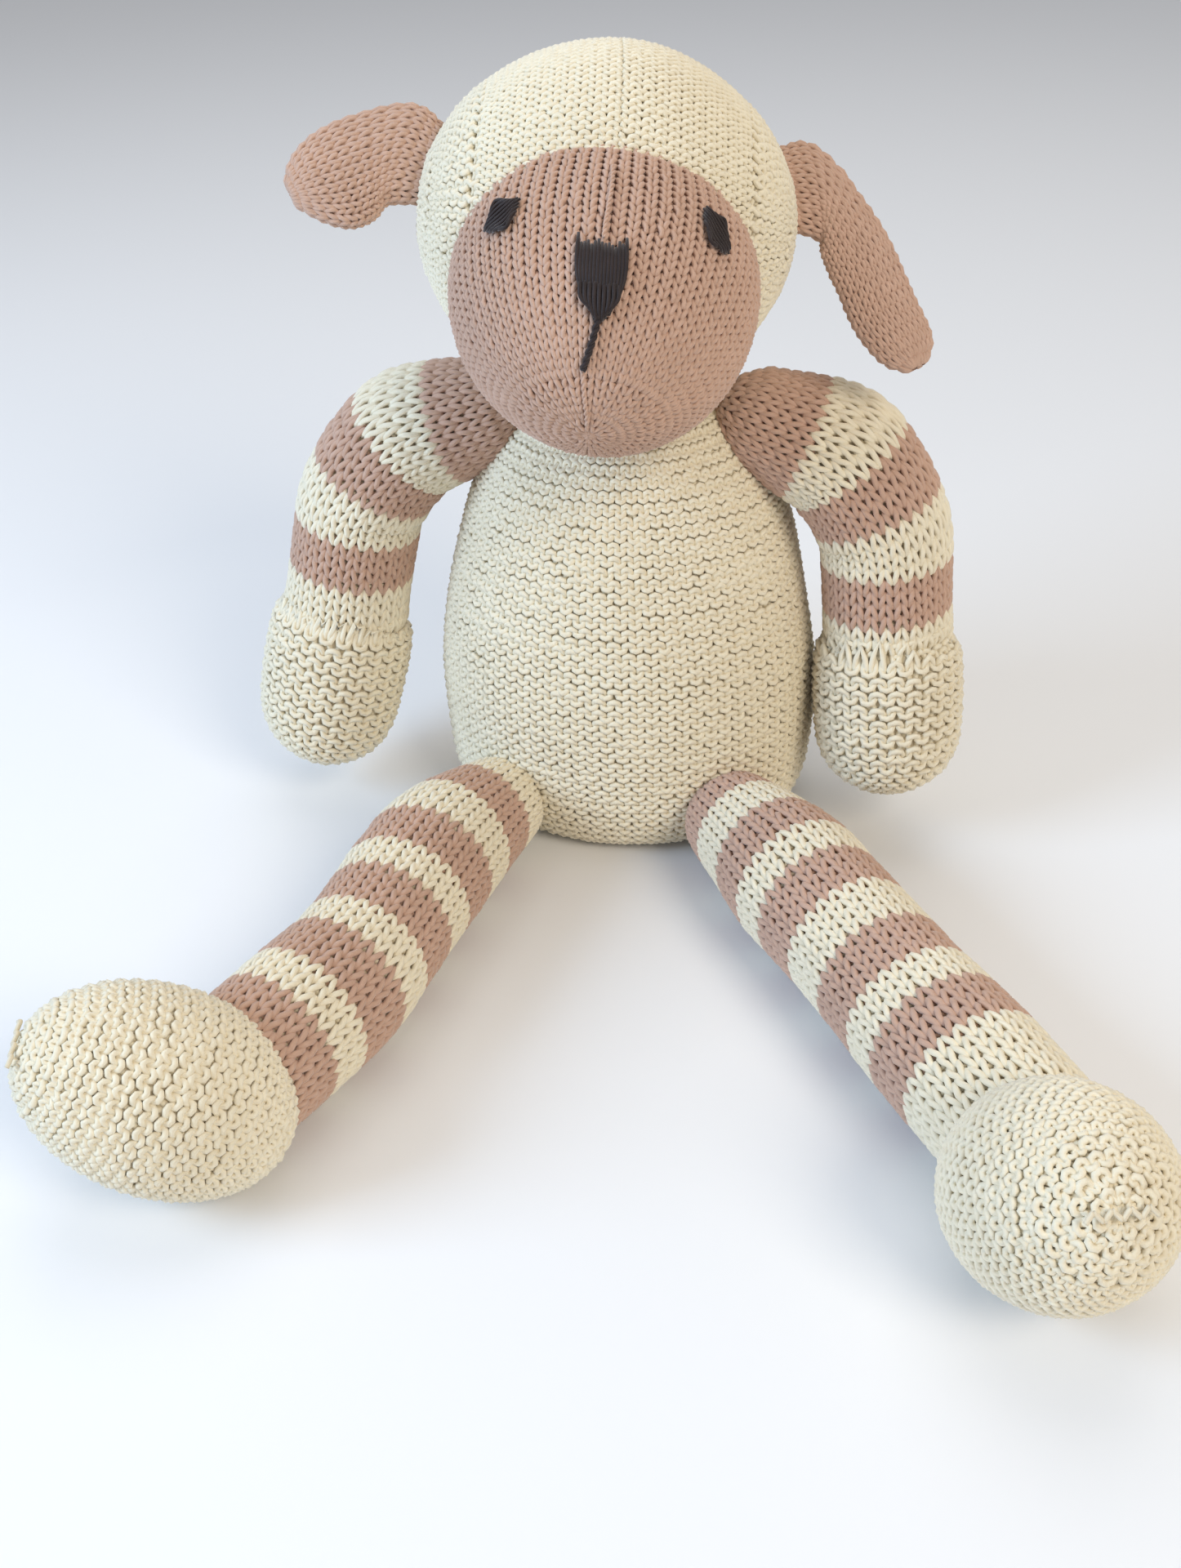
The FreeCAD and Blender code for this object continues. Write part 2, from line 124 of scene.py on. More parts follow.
class Swept:
    """Oval rings about a line, spaced by length along the skin. Rows: x, y, z, half width, half depth."""

    def __init__(self, rows, across, deep=None, count=240, swell=0.35 * MM):
        dense = smooth(rows, count)
        self.centre = dense[:, :3]
        self.a = np.maximum(dense[:, 3], 1e-5)
        self.b = np.maximum(dense[:, 4], 1e-5)
        across = np.asarray(across, float)
        if across.ndim == 2:
            across = unit(smooth(across, count))
        else:
            across = np.broadcast_to(across, self.centre.shape)
        if deep is None:
            tangent = unit(np.gradient(self.centre, axis=0))
            across = unit(across - tangent * (across * tangent).sum(1, keepdims=True))
            deep = np.cross(tangent, across)
        self.across, self.deep = across, np.broadcast_to(np.asarray(deep, float), self.centre.shape)
        gone = np.sqrt((np.diff(self.centre, axis=0) ** 2).sum(1)
                       + np.diff((self.a + self.b) / 2) ** 2)
        self.run = np.concatenate([[0], np.cumsum(gone)])
        self.length = self.run[-1]
        self.run /= self.length
        angles = np.linspace(0, TAU, 721)
        wide, tall = self.a.max(), self.b.max()
        pace = np.hypot(wide * np.sin(angles), tall * np.cos(angles))
        even = np.concatenate([[0], np.cumsum((pace[1:] + pace[:-1]) / 2)])
        self.turns, self.angles = even / even[-1], angles
        self.swell = swell

    def along(self, v, values):
        return np.stack([np.interp(v, self.run, values[:, k]) for k in range(values.shape[1])], -1)

    def at(self, u, v):
        whole = np.floor(u)
        angle = np.interp(u - whole, self.turns, self.angles)
        v = np.clip(v, 0, 1)
        wide = np.interp(v, self.run, self.a) * np.cos(angle)
        tall = np.interp(v, self.run, self.b) * np.sin(angle)
        spoke = wide[:, None] * self.along(v, self.across) + tall[:, None] * self.along(v, self.deep)
        p = self.along(v, self.centre) + spoke
        return p + unit(spoke) * lumps(p, self.swell)[:, None]


class Egg:
    """An ellipsoid whose rings go about a pole. Axes are rows of unit vectors, halves their half sizes."""

    def __init__(self, centre, axes, halves, pole, front, swell=0.35 * MM):
        self.centre = np.array(centre, float)
        self.axes = np.array(axes, float)
        self.halves = np.array(halves, float)
        self.pole = unit(pole)
        self.front = unit(front - self.pole * np.dot(front, self.pole))
        self.side = np.cross(self.pole, self.front)
        angles = np.linspace(0, math.pi, 400)
        ring = self.place(np.zeros_like(angles), angles)
        run = run_along(ring)
        self.length = run[-1]
        self.run, self.angles = run / self.length, angles
        self.swell = swell

    def place(self, lon, colat):
        d = (np.sin(colat)[:, None] * (np.cos(lon)[:, None] * self.front + np.sin(lon)[:, None] * self.side)
             + np.cos(colat)[:, None] * self.pole)
        return self.centre + (d * self.halves) @ self.axes

    def at(self, u, v):
        p = self.place(TAU * u, np.interp(np.clip(v, 0, 1), self.run, self.angles))
        return p + unit(p - self.centre) * lumps(p, self.swell)[:, None]

    def inside(self, p, margin=0.0):
        """True for points deeper in the ellipsoid than the margin."""
        q = (p - self.centre) @ self.axes.T / (self.halves - margin)
        return (q ** 2).sum(-1) < 1


def frame_at(skin, u, v):
    """Point, outward normal, and the lengths of one whole step of u and of v."""
    step = 2e-4
    p = skin.at(u, v)
    du = (skin.at(u + step, v) - skin.at(u - step, v)) / (2 * step)
    lo, hi = np.clip(v - step, 0, 1), np.clip(v + step, 0, 1)
    dv = (skin.at(u, hi) - skin.at(u, lo)) / np.maximum(hi - lo, 1e-9)[:, None]
    n = unit(np.cross(du, dv))
    middle = skin.centre if isinstance(skin, Egg) else skin.along(np.clip(v, 0, 1), skin.centre)
    flip = np.sign(((p - middle) * n).sum(-1, keepdims=True))
    return p, n * np.where(flip == 0, 1, flip), np.linalg.norm(du, axis=-1), np.linalg.norm(dv, axis=-1)


# ---------------------------------------------------------------- yarn meshes

class Yarns:
    """Collects lengths of yarn and makes one mesh of them."""

    def __init__(self):
        self.points, self.faces, self.slots, self.count = [], [], [], 0

    def add(self, p, normal, radius, closed=False, keep=None, slot=0, sides=YARN_SIDES):
        """One yarn along points p, set out from the normals. Only the points in keep are made."""
        n = len(p)
        if n < 3:
            return
        keep = np.ones(n, bool) if keep is None else keep
        if closed:
            tangent = unit(np.roll(p, -1, 0) - np.roll(p, 1, 0))
        else:
            tangent = unit(np.gradient(p, axis=0))
        e1 = unit(normal - tangent * (normal * tangent).sum(1, keepdims=True))
        e2 = np.cross(tangent, e1)
        turn = np.arange(sides) * TAU / sides
        radius = np.broadcast_to(np.asarray(radius, float), (n,))
        spokes = (np.cos(turn)[None, :, None] * e1[:, None, :]
                  + np.sin(turn)[None, :, None] * e2[:, None, :])
        ring = p[:, None, :] + radius[:, None, None] * spokes
        index = np.arange(n * sides).reshape(n, sides)
        nxt, both = np.roll(index, -1, 0), keep & np.roll(keep, -1)
        if not closed:
            both[-1] = False
        here, there = index[both], nxt[both]
        quads = np.stack([here, np.roll(here, -1, 1), np.roll(there, -1, 1), there], -1).reshape(-1, 4)
        caps = []
        if not (closed and keep.all()):
            before = np.roll(both, 1)
            caps += [index[i][::-1] for i in np.where(both & ~before)[0]]
            caps += [index[i] for i in np.where(before & ~both)[0]]
        used = np.zeros(n * sides, bool)
        used[quads.ravel()] = True
        if not used.any():
            return
        rename = np.cumsum(used) - 1 + self.count
        self.points.append(ring.reshape(-1, 3)[used])
        self.faces += rename[quads].tolist()
        self.faces += [rename[cap].tolist() for cap in caps]
        self.slots += [slot] * (len(quads) + len(caps))
        self.count += int(used.sum())

    def piece(self, name, materials):
        mesh = bpy.data.meshes.new(name)
        mesh.from_pydata(np.vstack(self.points), [], self.faces)
        for material in materials:
            mesh.materials.append(material)
        mesh.polygons.foreach_set("material_index", np.array(self.slots, np.int32))
        mesh.polygons.foreach_set("use_smooth", np.ones(len(self.slots), bool))
        mesh.update()
        return link(bpy.data.objects.new(name, mesh))


def link(obj):
    bpy.context.scene.collection.objects.link(obj)
    return obj


def stitch_jitter(count, t, size):
    """A small random shift per stitch, drawn smoothly along a row."""
    value = rng.normal(0, size, count)
    return np.interp(t / TAU, np.arange(count + 1), np.append(value, value[0]))


def loop_path(count, purl):
    """The path of a row of knitted loops: along the row, up and down, and in and out, with its noise."""
    t = np.arange(count * SAMPLES) * (TAU / SAMPLES)
    along = t / TAU + LOOP_LEAN * np.sin(2 * t) + stitch_jitter(count, t, SIDE_JITTER)
    up = -LOOP_REACH * np.cos(t) * (1 + stitch_jitter(count, t, HEIGHT_JITTER))
    up = up + stitch_jitter(count, t, HEIGHT_JITTER)
    out = (1 if purl else -1) * np.cos(2 * t) * (1 + stitch_jitter(count, t, DEPTH_JITTER))
    return t, along, up, out


def lay(yarns, skin, u, v, out, yarn, width, height, closed, keep=None, slot=0, ridge=0.0):
    """Lays a row of loops on a skin. Width and height are the stitches' share of the skin's u and v."""
    p, normal, du, dv = frame_at(skin, u, v)
    wide, tall = du * width, dv * height
    plump = np.clip(np.minimum(wide / (SNUG_WIDTH * yarn), tall / (SNUG_HEIGHT * yarn)), 0, 1)
    radius = yarn * (THINNEST + THIN_RANGE * plump)
    p = p + normal * (out * LOOP_DEPTH * radius + ridge)[:, None]
    kept = None if keep is None else keep(p)
    yarns.add(p, normal, radius, closed, kept, slot)


def knit(yarns, skin, rows, wales, purl, yarn=YARN, colour=None, keep=None, first=0, last=None, rib=0.0):
    """Closed rows of loops about a skin.

    Wales is a number, or a function of the row's place. Rib is the height of ribs along the wales.
    """
    for row in range(first, rows if last is None else last):
        count = wales((row + 0.5) / rows) if callable(wales) else wales
        t, along, up, out = loop_path(count, purl)
        u, v = along / count, (row + 0.5 + up) / rows
        lay(yarns, skin, u, v, out, yarn, 1 / count, 1 / rows, True, keep, colour(row) if colour else 0,
            -rib * np.cos(TAU * along))


def knit_lanes(yarns, skin, lanes, wales, purl, zones, yarn=YARN, keep=None):
    """Rows of loops that run from a skin's middle to its pole. Every second row stops at each zone's edge."""
    far = 0.5    # v at the skin's middle
    for lane in range(lanes):
        level = 0
        while level < len(zones) and lane % (2 << level) == 0:
            level += 1
        end = zones[level] if level < len(zones) else zones[-1]
        count = max(2, int(round((far - end) * wales / far)))
        t, along, up, out = loop_path(count, purl)
        v = far - along / wales * far
        grow = np.ones_like(v)
        for k, edge in enumerate(zones[:-1]):
            grow += (1 << k) * np.clip((edge + 0.5 * far / wales - v) * wales / far, 0, 1)
        u = (lane + up * grow) / lanes
        lay(yarns, skin, u, v, out, yarn, grow / lanes, far / wales, False, keep)


def padding(name, skin, material, inset, around=96, along=64):
    """The stuffed form under the knitting: a closed surface drawn in by an inset."""
    u, v = np.arange(around) / around, np.linspace(POLE_GAP, 1 - POLE_GAP, along)
    uu, vv = np.meshgrid(u, v)
    p, normal, _, _ = frame_at(skin, uu.ravel(), vv.ravel())
    p = p - normal * inset
    index = np.arange(around * along).reshape(along, around)
    here, there = index[:-1], index[1:]
    quads = np.stack([here, np.roll(here, -1, 1), np.roll(there, -1, 1), there], -1).reshape(-1, 4)
    base = len(p)
    p = np.vstack([p, p[:around].mean(0), p[-around:].mean(0)])
    faces = quads.tolist()
    faces += [[base, int(a), int(b)] for a, b in zip(index[0], np.roll(index[0], 1))]
    faces += [[base + 1, int(a), int(b)] for a, b in zip(index[-1], np.roll(index[-1], -1))]
    mesh = bpy.data.meshes.new(name)
    mesh.from_pydata(p, [], faces)
    mesh.materials.append(material)
    mesh.polygons.foreach_set("use_smooth", np.ones(len(faces), bool))
    mesh.update()
    obj = link(bpy.data.objects.new(name, mesh))
    bpy.context.view_layer.objects.active = obj
    obj.select_set(True)
    bpy.ops.object.mode_set(mode="EDIT")
    bpy.ops.mesh.select_all(action="SELECT")
    bpy.ops.mesh.normals_make_consistent(inside=False)
    bpy.ops.object.mode_set(mode="OBJECT")
    obj.select_set(False)
    return obj


def overcast(yarns, p, normal, pitch, half, radius, closed=True):
    """Short stitches that cross a seam line, spaced by a pitch."""
    if closed:
        p, normal = np.vstack([p, p[:1]]), np.vstack([normal, normal[:1]])
    run = run_along(p)
    count = max(2, int(run[-1] / pitch))
    f = np.linspace(-1, 1, 7)[:, None]

    def at_run(s, values):
        return np.array([np.interp(s, run, values[:, k]) for k in range(3)])

    for s in (np.arange(count) + 0.5) * run[-1] / count:
        s += rng.normal(0, SEAM_JITTER) * pitch
        n = unit(at_run(s, normal))
        way = unit(at_run(s + SEAM_STEP, p) - at_run(s - SEAM_STEP, p))
        cross = unit(np.cross(n, way) + way * SEAM_SLANT)
        arc = at_run(s, p) + cross * f * half + n * (SEAM_RISE * radius * (1 - 1.9 * f ** 2))
        yarns.add(arc, np.repeat(n[None], len(f), 0), radius * (1 - 0.35 * f[:, 0] ** 4))


def cord_along(yarns, p, normal, radius, pitch=2.6 * MM):
    """A plied cord: strands twisted about a line."""
    run = run_along(p)
    count = max(8, int(run[-1] / (pitch / 10)))
    s = np.linspace(0, run[-1], count)
    q = np.stack([np.interp(s, run, p[:, k]) for k in range(3)], -1)
    n = unit(np.stack([np.interp(s, run, normal[:, k]) for k in range(3)], -1))
    tangent = unit(np.gradient(q, axis=0))
    e1 = unit(n - tangent * (n * tangent).sum(1, keepdims=True))
    e2 = np.cross(tangent, e1)
    for k in range(CORD_STRANDS):
        turn = TAU * (s / pitch + k / CORD_STRANDS)
        off = (np.cos(turn)[:, None] * e1 + np.sin(turn)[:, None] * e2) * radius * STRAND_OUT
        yarns.add(q + off, e1, radius * STRAND_THICK, sides=CORD_SIDES)


# ---------------------------------------------------------------- materials

STRAND_SHARE, CLOUD_SHARE = 0.55, 0.45    # of the fine and the broad noise in a yarn's colour


def yarn_material(name, light, dark, sheen, rough=0.86, fibre=1.0):
    """Cotton yarn: uneven dye, fine fibres in the bump, and a soft sheen."""
    material = bpy.data.materials.new(name)
    material.use_nodes = True
    nodes, links = material.node_tree.nodes, material.node_tree.links
    shader = nodes["Principled BSDF"]
    shader.inputs["Sheen Weight"].default_value = sheen
    shader.inputs["Sheen Roughness"].default_value = 0.45
    shader.inputs["Specular IOR Level"].default_value = 0.25
    place = nodes.new("ShaderNodeTexCoord")

    def noise(scale, detail):
        node = nodes.new("ShaderNodeTexNoise")
        node.inputs["Scale"].default_value = scale
        node.inputs["Detail"].default_value = detail
        links.new(place.outputs["Object"], node.inputs["Vector"])
        return node.outputs["Fac"]

    cloudy, strand, hairs = noise(28, 2), noise(420, 3), noise(2600, 4)
    ramp = nodes.new("ShaderNodeValToRGB")
    ramp.color_ramp.elements[0].position, ramp.color_ramp.elements[1].position = 0.3, 0.7
    ramp.color_ramp.elements[0].color, ramp.color_ramp.elements[1].color = (*dark, 1), (*light, 1)
    blend = nodes.new("ShaderNodeMath")
    blend.operation = "MULTIPLY_ADD"
    blend.inputs[1].default_value, blend.inputs[2].default_value = STRAND_SHARE, 0.0
    links.new(strand, blend.inputs[0])
    both = nodes.new("ShaderNodeMath")
    both.operation = "MULTIPLY_ADD"
    both.inputs[1].default_value = CLOUD_SHARE
    links.new(cloudy, both.inputs[0])
    links.new(blend.outputs[0], both.inputs[2])
    links.new(both.outputs[0], ramp.inputs["Fac"])
    links.new(ramp.outputs["Color"], shader.inputs["Base Color"])
    span = nodes.new("ShaderNodeMapRange")
    span.inputs["To Min"].default_value = rough - 0.1
    span.inputs["To Max"].default_value = min(1.0, rough + 0.08)
    links.new(hairs, span.inputs["Value"])
    links.new(span.outputs["Result"], shader.inputs["Roughness"])
    bump = nodes.new("ShaderNodeBump")
    bump.inputs["Strength"].default_value = 0.55 * fibre
    bump.inputs["Distance"].default_value = 0.16 * MM
    links.new(hairs, bump.inputs["Height"])
    links.new(bump.outputs["Normal"], shader.inputs["Normal"])
    return material


CREAM = yarn_material("cream_yarn", (0.86, 0.79, 0.62), (0.77, 0.68, 0.50), 0.35)
# Stuffing under the cream knit, coloured much darker than its yarn: painted shade where it shows between the
# loops.
CREAM_SHADED_PADDING = yarn_material("cream_padding_painted_shade", (0.62, 0.54, 0.39), (0.52, 0.44, 0.30), 0.1)
TAN = yarn_material("tan_yarn", (0.60, 0.40, 0.30), (0.50, 0.32, 0.23), 0.3)
# Stuffing and lining under the tan knit, coloured much darker than the tan yarn: painted shade where it shows
# between the loops.
TAN_SHADED_PADDING = yarn_material("tan_padding_painted_shade", (0.36, 0.23, 0.17), (0.30, 0.18, 0.13), 0.1)
DARK = yarn_material("dark_strand", (0.030, 0.018, 0.016), (0.014, 0.008, 0.008), 0.25, 0.55, 0.6)
CREAM_SEAM = yarn_material("cream_seam_yarn", (0.80, 0.72, 0.55), (0.66, 0.57, 0.41), 0.3)


# ---------------------------------------------------------------- measuring the frame

def reach(node, origin, way):
    """Distance from a point inside a solid node to its surface."""
    hit, where, _, _ = frame["nodes"][node].ray_cast(Vector(origin), Vector(way))
    return float(np.linalg.norm(np.array(where) - origin)) if hit else None


ASKEW = (0.31, 0.17, 0.93)    # a direction that no limb runs along


def ring_of(node, centre, tangent, spokes=16):
    """Centre and mean radius of a tube's section, found by rays from inside it."""
    side = unit(np.cross(tangent, ASKEW))
    other = np.cross(tangent, side)
    for _ in range(2):
        ends = []
        for k in range(spokes):
            way = math.cos(TAU * k / spokes) * side + math.sin(TAU * k / spokes) * other
            gone = reach(node, centre, way)
            if gone is not None:
                ends.append(centre + way * gone)
        if len(ends) < spokes:
            return None
        ends = np.array(ends)
        centre = ends.mean(0)
    return centre, float(np.linalg.norm(ends - centre, axis=1).mean())


def middle_of(node):
    low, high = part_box(node)
    return (np.array(low) + np.array(high)) / 2


# shares of the way from a limb's root to its end where it is measured
ARM_SHARES = (0.22, 0.36, 0.50, 0.64)
LEG_SHARES = (0.22, 0.36, 0.50, 0.64, 0.76)
UNMEASURED_RADIUS = 15 * MM
ROOT_ANGLES = (6, 25, 45, 65, 85)    # degrees from a limb's round root to the rings that close it


def limb_rows(side, limb):
    """Rows of a limb's skin, from the round root inside the body to the wrist or ankle."""
    start, joint = {"arm": ("shoulder_swing", "wrist_flex"), "leg": ("hip_lift", "ankle_flex")}[limb]
    root, end = ORIGINS[f"{side}_{start}"], ORIGINS[f"{side}_{joint}"]
    stuffing = f"{side}_{limb}_stuffing"
    shares = ARM_SHARES if limb == "arm" else LEG_SHARES
    line = [root + (end - root) * s for s in shares]
    radii = [UNMEASURED_RADIUS] * len(shares)
    for _ in range(3):
        ways = unit(np.gradient(np.array([root, *line, end]), axis=0))[1:-1]
        for k, way in enumerate(ways):
            found = ring_of(stuffing, line[k], way)
            if found:
                line[k], radii[k] = found[0], found[1] + COVER
    root_radius = reach(stuffing, root, (0, 0, 1.0)) + COVER
    first = unit(line[0] - root)
    rows = []
    for angle in np.radians(ROOT_ANGLES):
        ring = root_radius * math.sin(angle)
        rows.append([*(root - first * root_radius * math.cos(angle)), ring, ring])
    rows += [[*c, r, r] for c, r in zip(line, radii)]
    rows.append([*end, radii[-1], radii[-1]])
    return rows, end, unit(end - line[-1])


def inset_rows(rows, inset):
    rows = np.array(rows, float)
    rows[:, 3:] = np.maximum(rows[:, 3:] - inset, 0.2 * MM)
    return rows


# ---------------------------------------------------------------- head frame and skins

right_ear, left_ear = ORIGINS["right_ear_flap"], ORIGINS["left_ear_flap"]
head_x = unit(left_ear - right_ear)
head_y = unit(np.cross((0, 0, 1), AXES["neck_nod"]))
head_z = np.cross(head_x, head_y)
EAR_ROOT = np.array((0.0, 4.0, 10.0)) * MM
head_centre = (right_ear + left_ear) / 2 - EAR_ROOT[1] * head_y - EAR_ROOT[2] * head_z
HEAD = np.array([head_x, head_y, head_z])


def on_head(x, y, z):
    return head_centre + np.array((x, y, z)) * MM @ HEAD


CROWN_HALF = np.array((43.0, 41.0, 38.5)) * MM
MUZZLE_HALF = np.array((33.5, 38.0, 32.5)) * MM
MUZZLE_AT = (0.0, -27.0, -7.0)
MUZZLE_PITCH = math.radians(12)
GATHER_AT = (-1.5, -57.5, -25.5)
pitched = np.array([[1, 0, 0], [0, math.cos(MUZZLE_PITCH), math.sin(MUZZLE_PITCH)],
                    [0, -math.sin(MUZZLE_PITCH), math.cos(MUZZLE_PITCH)]])
MUZZLE = pitched @ HEAD
muzzle_centre = on_head(*MUZZLE_AT)

crown_shape = Egg(head_centre, HEAD, CROWN_HALF, (1, 0, 0), (0, 0, 1))
muzzle_shape = Egg(muzzle_centre, MUZZLE, MUZZLE_HALF, (0, -1, 0), (0, 0, 1))
gather_way = unit(MUZZLE @ (on_head(*GATHER_AT) - muzzle_centre) / MUZZLE_HALF)


def done(piece, body, slot, *nodes, padded=None):
    """Rides a piece on its body and hides the nodes that it stands for. The finish it is given is not used.
    """
    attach(piece, body)
    if nodes:
        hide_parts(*nodes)
    return piece


def bend(piece, a, b, at, way, half, slot, *nodes, padded=None):
    """Bakes a piece's transform into its mesh and hides the nodes that it stands for. The two bodies and the
    joint it is given are not used.
    """
    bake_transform(piece)
    if nodes:
        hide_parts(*nodes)
    return piece


# ---------------------------------------------------------------- torso

BODY_SHAPE = (  # share of the height, of the half width and of the half depth
    (0.000, 0.060, 0.060), (0.000, 0.300, 0.280), (0.000, 0.560, 0.520), (0.002, 0.730, 0.685),
    (0.012, 0.835, 0.785), (0.039, 0.925, 0.870), (0.131, 0.996, 0.961), (0.331, 1.000, 1.000),
    (0.558, 0.935, 0.948), (0.750, 0.823, 0.857), (0.881, 0.691, 0.727), (0.959, 0.539, 0.597),
    (0.996, 0.370, 0.420), (1.012, 0.230, 0.280), (1.020, 0.150, 0.180))
low, high = (np.array(c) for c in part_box("torso_cover"))
body_middle, body_half = (low + high) / 2, (high - low) / 2
torso_rows = [[body_middle[0], body_middle[1], low[2] + SKIN_INSET + z * (high[2] - low[2] - SKIN_INSET),
               a * body_half[0], b * body_half[1]] for z, a, b in BODY_SHAPE]
torso_skin = Swept(inset_rows(torso_rows, SKIN_INSET), (1, 0, 0), (0, 1, 0), swell=0.8 * MM)
TORSO_ROWS = 54
TORSO_PARTS = (  # name, rows, and the node that the piece stands for
    ("torso_knit_base", 0, 20, ()), ("torso_knit_belly", 20, 37, ("torso_cover",)),
    ("torso_knit_chest", 37, TORSO_ROWS, ()))


def torso_wales(place):
    return 36 if place < 0.10 or place > 0.95 else 72


for name, first, last, nodes in TORSO_PARTS:
    yarns = Yarns()
    knit(yarns, torso_skin, TORSO_ROWS, torso_wales, True, first=first, last=last)
    piece = yarns.piece(name, [CREAM])
    done(piece, "torso", "cream_knit", *nodes, padded=0.85)
torso_pad = padding("torso_padding", torso_skin, CREAM_SHADED_PADDING, 0.55 * MM)
done(torso_pad, "torso", "polyester_fibre", "torso_stuffing", padded=0.85)

# ---------------------------------------------------------------- arms and legs

STRIPES = {  # rows of each colour from the root, 0 cream and 1 tan
    ("right", "arm"): (1, 5, (4, 4, 4, 4, 4, 4)),
    ("left", "arm"): (1, 5, (4, 4, 4, 4, 4, 4)),
    ("right", "leg"): (0, 5, (2, 4, 4, 4, 3, 4, 3, 4, 3)),
    ("left", "leg"): (1, 5, (2, 4, 4, 3, 4, 4, 4, 3, 4)),
}
LIMB_WALES = 27
HAND_WALES = 25
COURSE = 3.25 * MM
HAND_COURSE = 3.7 * MM
HAND_SHAPE = (  # share of the hand's length from the wrist, and of its half width
    (0.10, 0.95), (0.22, 0.99), (0.45, 1.0), (0.66, 0.975), (0.79, 0.87), (0.88, 0.70), (0.95, 0.46),
    (0.985, 0.24), (1.0, 0.02))
FOOT_COURSE = 3.1 * MM
BEND_HALF = 9 * MM       # how far a leg's skin reaches past the ankle
TOE_HALF, TOE_ZIGZAG, TOE_LIFT, TOE_YARN = 6.5 * MM, 0.9 * MM, 0.9 * MM, 0.5 * MM
FOOT_HALF = np.array((21.8, 21.8, 29.8)) * MM
FOOT_AXES = {"right": (-0.80, -0.22, 0.56), "left": (0.20, -0.70, 0.68)}


def stripe_colour(side, limb):
    first, hidden, bands = STRIPES[side, limb]
    edges = hidden + np.cumsum(bands)

    def colour(row):
        return int((first + np.searchsorted(edges, row, side="right")) % 2)
    return colour


def torso_inside(p, margin=0.0):
    z = (p[..., 2] - low[2]) / (high[2] - low[2])
    table = np.array(BODY_SHAPE)
    a = np.interp(z, table[4:, 0], table[4:, 1]) * body_half[0] - margin
    b = np.interp(z, table[4:, 0], table[4:, 2]) * body_half[1] - margin
    return (((p[..., 0] - body_middle[0]) / a) ** 2 + ((p[..., 1] - body_middle[1]) / b) ** 2 < 1) & (z < 1)


def meeting(skin, inside, count=72, v_from=0.0, v_to=1.0):
    """Where a skin comes out of another shape: the curve's points and normals."""
    us, vs = [], np.linspace(v_from, v_to, 300)
    where = []
    for u in np.arange(count) / count:
        hidden = inside(skin.at(np.full_like(vs, u), vs))
        if hidden.any() and not hidden.all():
            us.append(u)
            where.append(vs[np.where(hidden)[0][-1]] if hidden[0] else vs[np.where(hidden)[0][0]])
    us, where = np.array(us), np.array(where)
    if len(us) == count:
        where = sum(np.roll(where, k) for k in (-2, -1, 0, 1, 2)) / 5
    p, normal, _, _ = frame_at(skin, us, where)
    return p, normal


